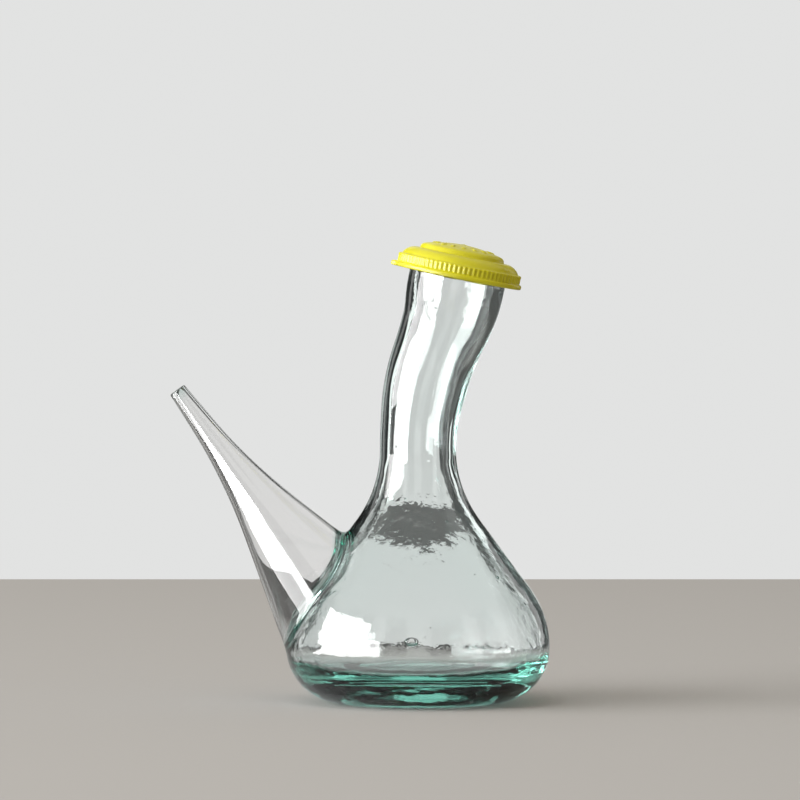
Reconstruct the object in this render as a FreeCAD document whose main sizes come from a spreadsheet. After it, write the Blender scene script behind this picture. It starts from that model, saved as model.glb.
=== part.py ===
import FreeCAD, Part

"""Glass oil bottle: a round blown vessel with a bent neck, a drawn pouring spout fused to its
flank, the seam of glass around the spout's root, and a press-on cap.

Millimetres, +Z up. The origin is the centre of the foot ring, on the surface the bottle stands
on. The spout points to -X, the neck leans to +X, and the XZ plane is the plane of symmetry.
"""

import os

import Sketcher
from FreeCAD import Placement, Rotation, Vector

# Driving dimensions: millimetres, or degrees where the name ends in angle.
DIMENSIONS = {
    # vessel, measured on its outside
    "body_radius": 47.5,
    "foot_outer_radius": 28.1,
    "foot_inner_radius": 21.0,
    "punt_rise": 3.0,
    "belly_curve_radius": 37.5,
    "flank_angle": 36.5,
    "throat_height": 91.4,
    # thickness of the glass
    "wall": 2.6,
    "floor_thickness": 10.5,
    "floor_flat_radius": 24.0,
    "floor_crown": 1.6,
    # neck: a bend, a short straight run, a bend back, and a straight mouth
    "lower_bend_radius": 100.0,
    "upper_bend_radius": 67.0,
    "lean_angle": 21.0,
    "mouth_angle": 11.5,
    "leaning_run": 8.0,
    "mouth_run": 13.4,
    # outside radius of the neck at each quarter of the lower bend, and above it
    "neck_radius_0": 13.7,
    "neck_radius_1": 13.9,
    "neck_radius_2": 14.6,
    "neck_radius_3": 15.0,
    "neck_radius_4": 15.2,
    "neck_run_radius": 15.9,
    "neck_top_radius": 17.3,
    "mouth_radius": 17.5,
    # rolled lip around the mouth
    "lip_radius": 19.1,
    "lip_height": 5.0,
    "lip_rounding": 1.2,
    # how far the lip's ring sinks into the neck, and the bore's cut runs past the mouth
    "lip_overlap": 0.2,
    "bore_overrun": 2.0,
    # spout, along its own axis from the tip
    "spout_tip_x": -86.8,
    "spout_tip_z": 112.7,
    "spout_dip_angle": 53.8,
    "spout_tip_radius": 3.1,
    "spout_tip_wall": 1.0,
    "spout_root_wall": 1.9,
    "spout_stem_length": 16.0,
    "spout_stem_radius": 4.3,
    "spout_flare_start": 58.0,
    "spout_flare_radius": 12.0,
    "spout_curve_depth": 1.15,
    "spout_length": 104.0,
    "spout_root_radius": 25.4,
    # opening through the flank inside the spout, and how far short of the spout's root its cut ends
    "opening_radius": 13.0,
    "opening_short": 4.0,
    # seam of glass where the spout meets the flank
    "seam_width": 2.2,
    "seam_end_width": 0.3,
    "seam_height": 3.2,
    "seam_start": 66.0,
    # cap, along its own axis from the underside of its brim
    "lip_in_cap": 5.5,
    "seat_gap": 0.1,
    "cap_bore_radius": 19.6,
    "brim_radius": 23.2,
    "brim_height": 1.7,
    "band_radius": 22.1,
    "band_height": 5.0,
    "shoulder_radius": 21.0,
    "shoulder_side_height": 5.5,
    "step_radius": 17.2,
    "step_height": 8.1,
    "disc_radius": 15.3,
    "disc_side_height": 9.2,
    "disc_top_radius": 13.9,
    "disc_rim_height": 10.2,
    "cap_height": 12.0,
    # how far the cap's rounded stretches bulge from straight
    "shoulder_bulge": 0.9,
    "disc_edge_bulge": 0.35,
    "dome_bulge": 0.45,
    "plate_underside": 8.7,
    "plug_radius": 14.5,
    "plug_wall": 1.3,
    "plug_bottom": 0.4,
    "rib_height": 0.4,
    "rib_width": 0.9,
    "rib_count": 80,
    "lug_radius": 24.5,
    "lug_width": 5.6,
    # how far ribs and lug sink into the cap
    "rib_root": 0.5,
    "lug_root": 1.0,
}

doc = FreeCAD.newDocument("OilBottle")
sheet = doc.addObject("Spreadsheet::Sheet", "Sizes")
for row, (alias, size) in enumerate(DIMENSIONS.items(), start=1):
    sheet.set(f"A{row}", alias)
    sheet.set(f"B{row}", str(size))
    sheet.setAlias(f"B{row}", alias)
doc.recompute()


def value(expression):
    """The number that an expression over the sheet's sizes comes to."""
    result = sheet.evalExpression(expression)
    return float(getattr(result, "Value", result))


# ---------------------------------------------------------------- sketch helpers


def origin_plane(body, role):
    """One of a body's own origin planes or axes."""
    return next(feature for feature in body.Origin.OriginFeatures if feature.Role == role)


def add_sketch(body, name, role, along=None, turn=None):
    """A sketch on an origin plane, optionally shifted in XZ and turned about Y by expressions."""
    sketch = body.newObject("Sketcher::SketchObject", name)
    sketch.AttachmentSupport = (origin_plane(body, role), [""])
    sketch.MapMode = "FlatFace"
    if along is None:
        return sketch
    # the XZ plane's own axes are X and Z, and its normal is -Y
    on_side = role == "XZ_Plane"
    axis = Vector(0, 0, -1) if on_side else Vector(0, 1, 0)
    sketch.AttachmentOffset = Placement(Vector(0, 0, 0), Rotation(axis, value(turn)))
    sketch.setExpression("AttachmentOffset.Base.x", along[0])
    sketch.setExpression("AttachmentOffset.Base.y" if on_side else "AttachmentOffset.Base.z", along[1])
    sketch.setExpression("AttachmentOffset.Rotation.Angle", turn)
    return sketch


def dimension(sketch, kind, references, name, expression):
    """A named dimension of a sketch, driven by an expression."""
    number = value(expression)
    if kind == "Angle":
        number = FreeCAD.Units.Quantity(f"{number} deg").getValueAs("rad").Value
    index = sketch.addConstraint(Sketcher.Constraint(kind, *references, number))
    sketch.renameConstraint(index, name)
    sketch.setExpression(f"Constraints.{name}", expression)


def circle(sketch, name, radius):
    """A circle about the sketch's origin."""
    index = sketch.addGeometry(Part.Circle(Vector(0, 0, 0), Vector(0, 0, 1), value(radius)))
    sketch.addConstraint(Sketcher.Constraint("Coincident", index, 3, -1, 1))
    dimension(sketch, "Radius", (index,), name, radius)


def outline(sketch, corners, arcs=()):
    """A closed outline through named corners, each (name, across, up) with two expressions.

    A side is straight, or an arc where arcs gives (corner it starts at, bulge): the arc passes
    that far to the right of the side's middle. An arc that ends on the axis is centred on it.
    """
    points = [Vector(value(across), value(up), 0) for _, across, up in corners]
    bulges = dict(arcs)
    for i, (name, across, up) in enumerate(corners):
        start = points[i]
        end = points[(i + 1) % len(points)]
        forward = True
        if name in bulges:
            chord = end - start
            bulge = value(bulges[name])
            middle = (start + end) * 0.5 + Vector(chord.y, -chord.x, 0).normalize() * bulge
            index = sketch.addGeometry(Part.Arc(start, middle, end))
            # a sketch holds every arc counter-clockwise, so one that bulges left swaps its ends
            forward = bulge > 0
        else:
            index = sketch.addGeometry(Part.LineSegment(start, end))
        first = 1 if forward else 2
        if i:
            sketch.addConstraint(Sketcher.Constraint("Coincident", *last_end, index, first))
        else:
            first_start = (index, first)
        last_end = (index, 3 - first)
        place_point(sketch, (index, first), name, across, up)
        if name in bulges and points[i + 1].x == 0:
            sketch.addConstraint(Sketcher.Constraint("PointOnObject", index, 3, -2))
        elif name in bulges:
            radius = sketch.Geometry[index].Radius
            held = sketch.addConstraint(Sketcher.Constraint("Radius", index, radius))
            sketch.renameConstraint(held, f"{name}_curve")
    sketch.addConstraint(Sketcher.Constraint("Coincident", *last_end, *first_start))


def place_point(sketch, point, name, across, up):
    """Hold a sketch point at two expressions, on the sketch's axes where one of them is zero."""
    if value(across) == 0:
        sketch.addConstraint(Sketcher.Constraint("PointOnObject", *point, -2))
    else:
        dimension(sketch, "DistanceX", (-1, 1, *point), f"{name}_across", across)
    if value(up) == 0:
        sketch.addConstraint(Sketcher.Constraint("PointOnObject", *point, -1))
    else:
        dimension(sketch, "DistanceY", (-1, 1, *point), f"{name}_up", up)


def revolve(body, kind, name, sketch):
    """A full turn of a sketch about its own vertical axis."""
    feature = body.newObject(f"PartDesign::{kind}", name)
    feature.Profile = sketch
    feature.ReferenceAxis = (sketch, ["V_Axis"])
    feature.Angle = 360
    return feature


# ---------------------------------------------------------------- the vessel's outline


def vessel_outline(sketch, grow, floor, crown, flat_radius, heel_radius):
    """Half of the round vessel, from its axis, closed across the throat.

    grow is the offset from the outside of the glass, floor the height of its underside, crown
    how far the middle rises above that, flat_radius the inner edge of the flat ring and
    heel_radius the curve between the ring and the belly. Every argument is an expression.
    """
    belly = f"Sizes.belly_curve_radius + ({grow})"
    widest = f"Sizes.body_radius + ({grow})"
    level = f"({floor}) + ({heel_radius})"
    throat = f"Sizes.neck_radius_0 + ({grow})"
    foot = f"{widest} - ({heel_radius})"

    # first positions of the joints between the stretches, which the constraints then hold
    lean = value("Sizes.flank_angle")
    belly_centre = Vector(value(f"{widest} - ({belly})"), value(level), 0)
    outward = Vector(value(f"cos({lean})"), value(f"sin({lean})"), 0)
    belly_end = belly_centre + outward * value(belly)
    up_flank = Vector(-outward.y, outward.x, 0)
    neck_point = Vector(value(throat), value("Sizes.throat_height"), 0)
    # the flank's line meets the throat's upright below the neck point by the arc's tangent length
    to_corner = (belly_end.x - neck_point.x) / outward.y
    corner = belly_end + up_flank * to_corner
    tangent = neck_point.y - corner.y
    flank_end = corner - up_flank * tangent
    throat_curve = tangent / value(f"tan({lean} / 2)")
    heel_middle = value("sin(45)") * value(heel_radius)
    heel_centre = Vector(value(foot), value(level), 0)
    ring_inner = Vector(value(flat_radius), value(floor), 0)
    ring_outer = Vector(value(foot), value(floor), 0)
    crown_top = Vector(0, value(f"({floor}) + ({crown})"), 0)
    axis_top = Vector(0, neck_point.y, 0)
    belly_start = Vector(value(widest), value(level), 0)

    crown_side = ring_inner - crown_top
    crown_curve = crown_side.Length**2 / (2 * value(crown))
    half_turn = value(f"cos({lean} / 2)"), value(f"sin({lean} / 2)")
    throat_centre = neck_point + Vector(throat_curve, 0, 0)
    crown_centre = crown_top - Vector(0, crown_curve, 0)
    crown_middle = (ring_inner + crown_top) * 0.5 - crown_centre
    stretches = [
        Part.LineSegment(axis_top, crown_top),
        Part.Arc(crown_top, crown_centre + crown_middle.normalize() * crown_curve, ring_inner),
        Part.LineSegment(ring_inner, ring_outer),
        Part.Arc(ring_outer, heel_centre + Vector(heel_middle, -heel_middle, 0), belly_start),
        Part.Arc(
            belly_start,
            belly_centre + Vector(half_turn[0], half_turn[1], 0) * value(belly),
            belly_end,
        ),
        Part.LineSegment(belly_end, flank_end),
        Part.Arc(
            flank_end,
            throat_centre - Vector(half_turn[0], half_turn[1], 0) * throat_curve,
            neck_point,
        ),
        Part.LineSegment(neck_point, axis_top),
    ]
    axis, crown_arc, ring, heel, belly_arc, flank, throat_arc, top = (
        sketch.addGeometry(stretch) for stretch in stretches
    )
    # an arc that turns clockwise is held the other way round: its ends swap
    backward = {crown_arc, throat_arc}
    start, end = 1, 2

    def start_of(stretch):
        return stretch, end if stretch in backward else start

    def end_of(stretch):
        return stretch, start if stretch in backward else end

    joints = [
        ("Coincident", axis, crown_arc),
        ("Coincident", crown_arc, ring),
        ("Tangent", ring, heel),
        ("Tangent", heel, belly_arc),
        ("Tangent", belly_arc, flank),
        ("Tangent", flank, throat_arc),
        ("Coincident", throat_arc, top),
        ("Coincident", top, axis),
    ]
    for kind, before, after in joints:
        sketch.addConstraint(Sketcher.Constraint(kind, *end_of(before), *start_of(after)))
    centre, origin, vertical, horizontal = 3, -1, -2, -1
    sketch.addConstraint(Sketcher.Constraint("PointOnObject", axis, start, vertical))
    sketch.addConstraint(Sketcher.Constraint("PointOnObject", axis, end, vertical))
    sketch.addConstraint(Sketcher.Constraint("PointOnObject", crown_arc, centre, vertical))
    sketch.addConstraint(Sketcher.Constraint("Horizontal", ring))
    sketch.addConstraint(Sketcher.Constraint("Horizontal", top))
    sketch.addConstraint(Sketcher.Constraint("Horizontal", heel, centre, *end_of(heel)))
    sketch.addConstraint(Sketcher.Constraint("Horizontal", throat_arc, centre, *end_of(throat_arc)))
    if value(floor) == 0:
        sketch.addConstraint(Sketcher.Constraint("PointOnObject", ring, start, horizontal))
    else:
        dimension(sketch, "DistanceY", (origin, 1, ring, start), "floor", floor)
    dimension(sketch, "DistanceY", (origin, 1, axis, end), "crown", f"({floor}) + ({crown})")
    dimension(sketch, "DistanceX", (origin, 1, ring, start), "flat_radius", flat_radius)
    dimension(sketch, "DistanceX", (origin, 1, ring, end), "foot", foot)
    dimension(sketch, "Radius", (heel,), "heel_curve", heel_radius)
    dimension(sketch, "Radius", (belly_arc,), "belly_curve", belly)
    dimension(sketch, "Angle", (flank,), "flank_slope", "Sizes.flank_angle + 90")
    dimension(sketch, "DistanceX", (origin, 1, top, start), "throat_radius", throat)
    dimension(sketch, "DistanceY", (origin, 1, top, start), "throat_height", "Sizes.throat_height")


def outer_form(sketch, grow="0"):
    """The vessel's outside, or a copy of it moved outwards by grow."""
    vessel_outline(
        sketch,
        grow,
        f"-({grow})",
        "Sizes.punt_rise",
        "Sizes.foot_inner_radius",
        f"Sizes.body_radius - Sizes.foot_outer_radius + ({grow})",
    )


# ---------------------------------------------------------------- the neck's centre line

BEND_TOP = (
    "Sizes.lower_bend_radius * (1 - cos(Sizes.lean_angle))",
    "Sizes.throat_height + Sizes.lower_bend_radius * sin(Sizes.lean_angle)",
)
RUN_TOP = (
    f"{BEND_TOP[0]} + Sizes.leaning_run * sin(Sizes.lean_angle)",
    f"{BEND_TOP[1]} + Sizes.leaning_run * cos(Sizes.lean_angle)",
)
BACK_BEND_TOP = (
    f"{RUN_TOP[0]} + Sizes.upper_bend_radius * (cos(Sizes.mouth_angle) - cos(Sizes.lean_angle))",
    f"{RUN_TOP[1]} + Sizes.upper_bend_radius * (sin(Sizes.lean_angle) - sin(Sizes.mouth_angle))",
)


def along_mouth(distance):
    """The point that far along the mouth's straight axis from the end of the upper bend."""
    return (
        f"{BACK_BEND_TOP[0]} + ({distance}) * sin(Sizes.mouth_angle)",
        f"{BACK_BEND_TOP[1]} + ({distance}) * cos(Sizes.mouth_angle)",
    )


MOUTH = along_mouth("Sizes.mouth_run")
BRIM = along_mouth("Sizes.mouth_run - Sizes.lip_in_cap")


def lower_bend_section(quarter):
    """Name, centre, lean and radius of the section after that many quarters of the lower bend."""
    lean = f"(Sizes.lean_angle * {quarter} / 4)"
    centre = (
        f"Sizes.lower_bend_radius * (1 - cos({lean}))",
        f"Sizes.throat_height + Sizes.lower_bend_radius * sin({lean})",
    )
    return f"bend_{quarter}", centre, lean, f"Sizes.neck_radius_{quarter}"


# round sections about as far apart all the way, from the throat to the mouth
NECK_SECTIONS = [lower_bend_section(quarter) for quarter in range(5)] + [
    ("run_top", RUN_TOP, "Sizes.lean_angle", "Sizes.neck_run_radius"),
    ("back_bend_top", BACK_BEND_TOP, "Sizes.mouth_angle", "Sizes.neck_top_radius"),
    ("mouth_middle", along_mouth("Sizes.mouth_run / 2"), "Sizes.mouth_angle", "Sizes.mouth_radius"),
]


def neck_loft(body, kind, name, grow, top):
    """The neck as a loft through its round sections, ending at the point top."""
    sections = []
    last = ("mouth", top, "Sizes.mouth_angle", "Sizes.mouth_radius")
    for label, centre, lean, radius in NECK_SECTIONS + [last]:
        section = add_sketch(body, f"{name}_{label}", "XY_Plane", centre, lean)
        circle(section, "radius", f"{radius} + ({grow})")
        sections.append(section)
    loft = body.newObject(f"PartDesign::{kind}", name)
    loft.Profile = sections[0]
    loft.Sections = sections[1:]
    loft.Ruled = False
    return loft


# ---------------------------------------------------------------- the spout's form

SPOUT_TIP = ("Sizes.spout_tip_x", "Sizes.spout_tip_z")
# from straight up, turned towards +X until it points down the spout from its tip
SPOUT_TURN = "Sizes.spout_dip_angle + 90"
STEM_END = ("Sizes.spout_stem_radius", "Sizes.spout_stem_length")
FLARE_START = ("Sizes.spout_flare_radius", "Sizes.spout_flare_start")


def horn_sketch(body, name):
    """A sketch whose vertical axis runs down the spout's axis from the tip."""
    return add_sketch(body, name, "XZ_Plane", SPOUT_TIP, SPOUT_TURN)


def horn_side(grow, prefix):
    """The horn's outside from its tip to its root, moved outwards by grow."""
    return [
        (f"{prefix}_tip", f"Sizes.spout_tip_radius + ({grow})", "0"),
        (f"{prefix}_stem", f"{STEM_END[0]} + ({grow})", STEM_END[1]),
        (f"{prefix}_flare", f"{FLARE_START[0]} + ({grow})", FLARE_START[1]),
        (f"{prefix}_root", f"Sizes.spout_root_radius + ({grow})", "Sizes.spout_length"),
    ]


# ---------------------------------------------------------------- the sub-parts


def bottle_body():
    """The blown vessel: body, bent neck and lip, hollow, with the opening into the spout."""
    body = doc.addObject("PartDesign::Body", "bottle_body")
    outside = add_sketch(body, "vessel_outside", "XZ_Plane")
    outer_form(outside)
    revolve(body, "Revolution", "vessel", outside)
    neck_loft(body, "AdditiveLoft", "neck", "0", MOUTH)

    lip = add_sketch(body, "lip_section", "XZ_Plane", MOUTH, "Sizes.mouth_angle")
    rounding = "Sizes.lip_rounding"
    outline(
        lip,
        [
            ("bottom", "Sizes.mouth_radius - Sizes.wall / 2", "-Sizes.lip_height"),
            ("root", "Sizes.mouth_radius - Sizes.lip_overlap", "-Sizes.lip_height"),
            ("side", "Sizes.lip_radius", f"-Sizes.lip_height + 2 * {rounding}"),
            ("shoulder", "Sizes.lip_radius", f"-{rounding}"),
            ("top", f"Sizes.lip_radius - {rounding}", "0"),
            ("inner", "Sizes.mouth_radius - Sizes.wall / 2", "0"),
        ],
    )
    revolve(body, "Revolution", "lip", lip)

    inside = add_sketch(body, "vessel_inside", "XZ_Plane")
    vessel_outline(
        inside,
        "-Sizes.wall",
        "Sizes.floor_thickness",
        "Sizes.floor_crown",
        "Sizes.floor_flat_radius",
        "Sizes.body_radius - Sizes.foot_outer_radius - Sizes.floor_thickness",
    )
    revolve(body, "Groove", "hollow", inside)
    past_mouth = along_mouth("Sizes.mouth_run + Sizes.bore_overrun")
    neck_loft(body, "SubtractiveLoft", "bore", "-Sizes.wall", past_mouth)

    hole = add_sketch(body, "opening_outline", "XY_Plane", SPOUT_TIP, SPOUT_TURN)
    circle(hole, "opening", "Sizes.opening_radius")
    opening = body.newObject("PartDesign::Pocket", "opening")
    opening.Profile = hole
    opening.Type = "Length"
    opening.Reversed = True
    opening.setExpression("Length", "Sizes.spout_length - Sizes.opening_short")
    return body


def pouring_spout():
    """The drawn horn, open at both ends, its root cut to the vessel's flank."""
    body = doc.addObject("PartDesign::Body", "pouring_spout")
    side = horn_sketch(body, "horn_section")
    outer = horn_side("0", "outer")
    tip_bore, root_bore = "-Sizes.spout_tip_wall", "-Sizes.spout_root_wall"
    inner = [
        ("inner_root", f"Sizes.spout_root_radius + ({root_bore})", "Sizes.spout_length"),
        ("inner_flare", f"{FLARE_START[0]} + ({root_bore})", FLARE_START[1]),
        ("inner_stem", f"{STEM_END[0]} + ({tip_bore})", STEM_END[1]),
        ("inner_tip", f"Sizes.spout_tip_radius + ({tip_bore})", "0"),
    ]
    curve = "Sizes.spout_curve_depth"
    outline(side, outer + inner, [("outer_stem", f"-{curve}"), ("inner_flare", curve)])
    revolve(body, "Revolution", "horn", side)
    trim_to_vessel(body)
    return body


def trim_to_vessel(body):
    """Cut away what lies inside the vessel's outside."""
    inside = add_sketch(body, f"{body.Name}_flank", "XZ_Plane")
    outer_form(inside)
    revolve(body, "Groove", f"{body.Name}_trim", inside)


def spout_seam():
    """The raised seam of glass around the spout's root, as high off the flank all the way."""
    sleeve = doc.addObject("PartDesign::Body", "seam_sleeve")
    section = horn_sketch(sleeve, "sleeve_section")
    start = ("Sizes.spout_flare_radius + (Sizes.spout_root_radius - Sizes.spout_flare_radius)"
             " * (Sizes.seam_start - Sizes.spout_flare_start)"
             " / (Sizes.spout_length - Sizes.spout_flare_start)")
    outline(
        section,
        [
            ("inner_start", start, "Sizes.seam_start"),
            ("outer_start", f"{start} + Sizes.seam_width", "Sizes.seam_start"),
            ("outer_end", "Sizes.spout_root_radius + Sizes.seam_end_width", "Sizes.spout_length"),
            ("inner_end", "Sizes.spout_root_radius", "Sizes.spout_length"),
        ],
    )
    revolve(sleeve, "Revolution", "sleeve", section)
    trim_to_vessel(sleeve)

    reach = doc.addObject("PartDesign::Body", "seam_reach")
    form = add_sketch(reach, "reach_section", "XZ_Plane")
    outer_form(form, "Sizes.seam_height")
    revolve(reach, "Revolution", "reach", form)

    seam = doc.addObject("Part::Common", "spout_seam")
    seam.Base = sleeve
    seam.Tool = reach
    return seam


def cap():
    """The press-on cap: ribbed band over a brim, domed disc, plug, and a lug to lift it by."""
    body = doc.addObject("PartDesign::Body", "cap")
    seat = "Sizes.lip_in_cap + Sizes.seat_gap"
    plug_inner = "Sizes.plug_radius - Sizes.plug_wall"
    section = add_sketch(body, "cap_section", "XZ_Plane")
    outline(
        section,
        [
            ("skirt", "Sizes.cap_bore_radius", "0"),
            ("brim", "Sizes.brim_radius", "0"),
            ("brim_top", "Sizes.brim_radius", "Sizes.brim_height"),
            ("band", "Sizes.band_radius", "Sizes.brim_height"),
            ("band_top", "Sizes.band_radius", "Sizes.band_height"),
            ("shoulder", "Sizes.shoulder_radius", "Sizes.band_height"),
            ("shoulder_side", "Sizes.shoulder_radius", "Sizes.shoulder_side_height"),
            ("step_edge", "Sizes.step_radius", "Sizes.step_height"),
            ("step", "Sizes.disc_radius", "Sizes.step_height"),
            ("disc_side", "Sizes.disc_radius", "Sizes.disc_side_height"),
            ("disc_rim", "Sizes.disc_top_radius", "Sizes.disc_rim_height"),
            ("top", "0", "Sizes.cap_height"),
            ("underside", "0", "Sizes.plate_underside"),
            ("plug_root", plug_inner, "Sizes.plate_underside"),
            ("plug_inner", plug_inner, "Sizes.plug_bottom"),
            ("plug_outer", "Sizes.plug_radius", "Sizes.plug_bottom"),
            ("seat_inner", "Sizes.plug_radius", seat),
            ("seat_outer", "Sizes.cap_bore_radius", seat),
        ],
        [
            ("shoulder_side", "Sizes.shoulder_bulge"),
            ("disc_side", "Sizes.disc_edge_bulge"),
            ("disc_rim", "Sizes.dome_bulge"),
        ],
    )
    revolve(body, "Revolution", "turned_form", section)

    grip = add_sketch(body, "rib_outline", "XY_Plane")
    rib_top = "Sizes.band_radius + Sizes.rib_height"
    centred_bar(grip, "Sizes.band_radius - Sizes.rib_root", rib_top, "Sizes.rib_width")
    rib = body.newObject("PartDesign::Pad", "rib")
    rib.Profile = grip
    rib.setExpression("Length", "Sizes.band_height")
    ribs = body.newObject("PartDesign::PolarPattern", "ribs")
    ribs.Originals = [rib]
    ribs.Axis = (grip, ["N_Axis"])
    ribs.Angle = 360
    ribs.setExpression("Occurrences", "Sizes.rib_count")
    body.Tip = ribs

    tab = add_sketch(body, "lug_outline", "XY_Plane")
    lug_root = "Sizes.brim_radius - Sizes.lug_root"
    centred_bar(tab, lug_root, "Sizes.lug_radius", "Sizes.lug_width", mirrored=True)
    lug = body.newObject("PartDesign::Pad", "lug")
    lug.Profile = tab
    lug.setExpression("Length", "Sizes.brim_height")
    body.Tip = lug

    body.Placement = Placement(Vector(0, 0, 0), Rotation(Vector(0, 1, 0), value("Sizes.mouth_angle")))
    body.setExpression("Placement.Base.x", BRIM[0])
    body.setExpression("Placement.Base.z", BRIM[1])
    body.setExpression("Placement.Rotation.Angle", "Sizes.mouth_angle")
    return body


def centred_bar(sketch, near, far, width, mirrored=False):
    """A rectangle from near to far along X, centred on it, or along -X where mirrored."""
    sign = "-" if mirrored else ""
    half = f"({width}) / 2"
    corners = [
        ("near_low", f"{sign}({near})", f"-{half}"),
        ("far_low", f"{sign}({far})", f"-{half}"),
        ("far_high", f"{sign}({far})", half),
        ("near_high", f"{sign}({near})", half),
    ]
    outline(sketch, corners)


def check_document():
    """Stop if any object failed, or any sub-part is not a valid solid."""
    for item in doc.Objects:
        if "Invalid" in item.State or "Error" in item.State:
            raise RuntimeError(f"{item.Label} failed: {item.State}")
    for item in SUB_PARTS:
        if item.Shape.isNull() or not item.Shape.isValid() or not item.Shape.Solids:
            raise RuntimeError(f"{item.Label} is not a valid solid")


SUB_PARTS = [bottle_body(), pouring_spout(), spout_seam(), cap()]
doc.recompute()
check_document()

os.makedirs("parts", exist_ok=True)
for item in SUB_PARTS:
    box = item.Shape.BoundBox
    print(
        f"{item.Label}: {len(item.Shape.Solids)} solid, {item.Shape.Volume / 1000:.2f} cm3,"
        f" x {box.XMin:.1f}..{box.XMax:.1f} y {box.YMin:.1f}..{box.YMax:.1f}"
        f" z {box.ZMin:.1f}..{box.ZMax:.1f}"
    )
    item.Shape.exportStep(f"parts/{item.Label}.step")
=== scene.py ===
"""Looks of a glass oil bottle: one fused vessel of recycled glass and its yellow press-on cap.

The vessel is built in millimetres, in the CAD frame, and scaled to metres when a mesh is made.
"""
import math
import random

import bmesh
import bpy
import numpy as np
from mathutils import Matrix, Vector, noise


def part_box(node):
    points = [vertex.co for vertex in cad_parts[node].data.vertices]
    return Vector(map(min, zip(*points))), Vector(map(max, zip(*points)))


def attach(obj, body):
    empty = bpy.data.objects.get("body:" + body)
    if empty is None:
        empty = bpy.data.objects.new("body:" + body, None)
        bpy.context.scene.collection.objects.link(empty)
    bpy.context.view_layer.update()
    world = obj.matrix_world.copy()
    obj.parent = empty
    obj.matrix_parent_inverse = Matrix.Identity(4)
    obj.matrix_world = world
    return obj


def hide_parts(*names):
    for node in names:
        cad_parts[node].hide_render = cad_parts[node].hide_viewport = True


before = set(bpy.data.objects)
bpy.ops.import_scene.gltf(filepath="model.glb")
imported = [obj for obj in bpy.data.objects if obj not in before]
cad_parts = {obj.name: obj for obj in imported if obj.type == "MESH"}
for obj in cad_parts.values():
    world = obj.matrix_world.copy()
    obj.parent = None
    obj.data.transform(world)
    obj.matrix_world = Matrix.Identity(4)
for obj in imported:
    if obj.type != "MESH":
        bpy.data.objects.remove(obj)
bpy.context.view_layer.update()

METRES = 0.001
TAU = 2 * math.pi

# ---------------------------------------------------------------- the design's sizes, in millimetres

BODY_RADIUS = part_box("bottle_body")[1].y / METRES
FOOT_OUTER, FOOT_INNER, PUNT_RISE = 28.1, 21.0, 3.0
BELLY_CURVE = 37.5
FLANK_ANGLE = math.radians(36.5)
THROAT_RADIUS, THROAT_HEIGHT = 13.7, 91.4
WALL = 2.6
FLOOR, FLOOR_FLAT, FLOOR_CROWN = 10.5, 24.0, 1.6

LOWER_BEND, UPPER_BEND = 100.0, 67.0
LEAN, MOUTH_TILT = math.radians(21.0), math.radians(11.5)
LEANING_RUN, MOUTH_RUN = 8.0, 13.4
LIP_RADIUS, LIP_HEIGHT = 19.1, 5.0
LIP_IN_CAP = 5.5

SPOUT_TIP = np.array([-86.8, 0.0, 112.7])
SPOUT_DIP = math.radians(53.8)
TIP_RADIUS, TIP_WALL, ROOT_WALL = 3.1, 0.95, 0.45
STEM_LENGTH, STEM_RADIUS = 16.0, 4.3
FLARE_START, FLARE_RADIUS = 58.0, 12.0
SPOUT_LENGTH, ROOT_RADIUS = 104.0, 25.4
OPENING = 13.0

# ---------------------------------------------------------------- the glass mesh's resolution

COLUMNS = 190          # round the vessel
HOLE_CELLS = 44        # across and up the square hole in the grid where the spout's patch goes
ROUND = 4 * HOLE_CELLS  # round the spout
PATCH_RINGS = 9        # between the spout's root and the square hole
PATCH_SPREAD = 1.35    # how much closer those rings lie at the root
BEAD_RINGS, HORN_RINGS, NECK_RINGS = 11, 46, 46
NECK_GAP = 1.3         # from the neck's end rings to the vessel's and the lip's
# heights of the square hole's lower and upper edge, and the rows below and above it
OUTER_HOLE, OUTER_ROWS = (5.0, 76.0), (26, 12)
INNER_HOLE, INNER_ROWS = (14.5, 74.0), (20, 12)


# ---------------------------------------------------------------- small curve helpers


def arc(centre, radius, start, end, steps):
    """Points of an arc in the profile plane, from one angle to another, in degrees."""
    angles = np.radians(np.linspace(start, end, steps + 1))
    return np.c_[centre[0] + radius * np.cos(angles), centre[1] + radius * np.sin(angles)]


def joined(*stretches):
    """Stretches of points as one polyline, without the points that two of them share."""
    points = [stretches[0]]
    for stretch in stretches[1:]:
        points.append(stretch[1:])
    return np.vstack(points)


def lengths(points):
    """Distance along a polyline at each of its points."""
    steps = np.linalg.norm(np.diff(points, axis=0), axis=1)
    return np.concatenate([[0.0], np.cumsum(steps)])


def at_length(points, along):
    """Points of a polyline at the given distances along it."""
    at = lengths(points)
    return np.stack([np.interp(along, at, points[:, k]) for k in range(points.shape[1])], axis=-1)


def smooth_table(xs, ys):
    """A smooth curve through a few (x, y) pairs, as a function."""
    xs, ys = np.asarray(xs, float), np.asarray(ys, float)
    slopes = np.gradient(ys, xs)

    def curve(x):
        x = np.clip(x, xs[0], xs[-1])
        i = np.clip(np.searchsorted(xs, x) - 1, 0, len(xs) - 2)
        width = xs[i + 1] - xs[i]
        t = (x - xs[i]) / width
        return ((2 * t**3 - 3 * t**2 + 1) * ys[i] + (t**3 - 2 * t**2 + t) * width * slopes[i]
                + (3 * t**2 - 2 * t**3) * ys[i + 1] + (t**3 - t**2) * width * slopes[i + 1])

    return curve


def ease(t):
    """0 to 1 with level ends."""
    t = np.clip(t, 0.0, 1.0)
    return t * t * (3 - 2 * t)


def bezier(a, b, c, t):
    """A curve from a to c that leaves towards b and arrives from it."""
    return (1 - t)**2 * a + 2 * t * (1 - t) * b + t**2 * c


# ---------------------------------------------------------------- the vessel's form


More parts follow.
